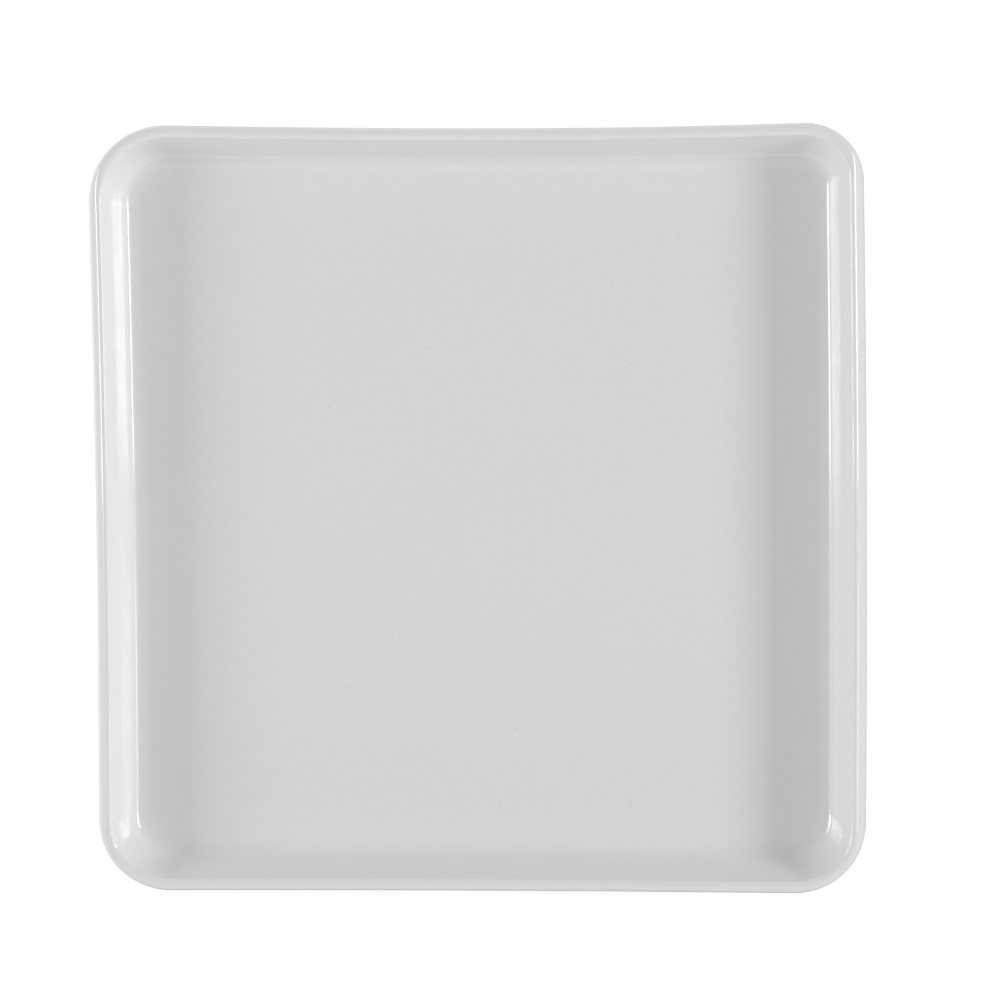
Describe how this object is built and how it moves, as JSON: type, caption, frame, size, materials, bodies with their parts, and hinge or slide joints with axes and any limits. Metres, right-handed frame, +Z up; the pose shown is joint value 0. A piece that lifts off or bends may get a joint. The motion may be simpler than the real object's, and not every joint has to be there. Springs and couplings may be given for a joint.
{
  "type": "porcelain tray",
  "caption": "Shallow square porcelain tray with rounded corners, a raised rim that slopes outwards, a coved flat well and a bare foot ring, covered in glossy white glaze.",
  "frame": {"origin": "middle of the plane that the foot ring stands on", "axes": "+Z up through the middle of the well; +X and +Y square to the sides, with +Y towards the side that the picture shows at the top"},
  "size_m": [0.254, 0.254, 0.022],
  "materials": {
    "bare_porcelain": "matte",
    "white_glaze": "gloss"
  },
  "bodies": {
    "root": {"porcelain_body": "bare_porcelain", "glaze_coat": "white_glaze", "base_glaze": "white_glaze"}
  },
  "joints": []
}
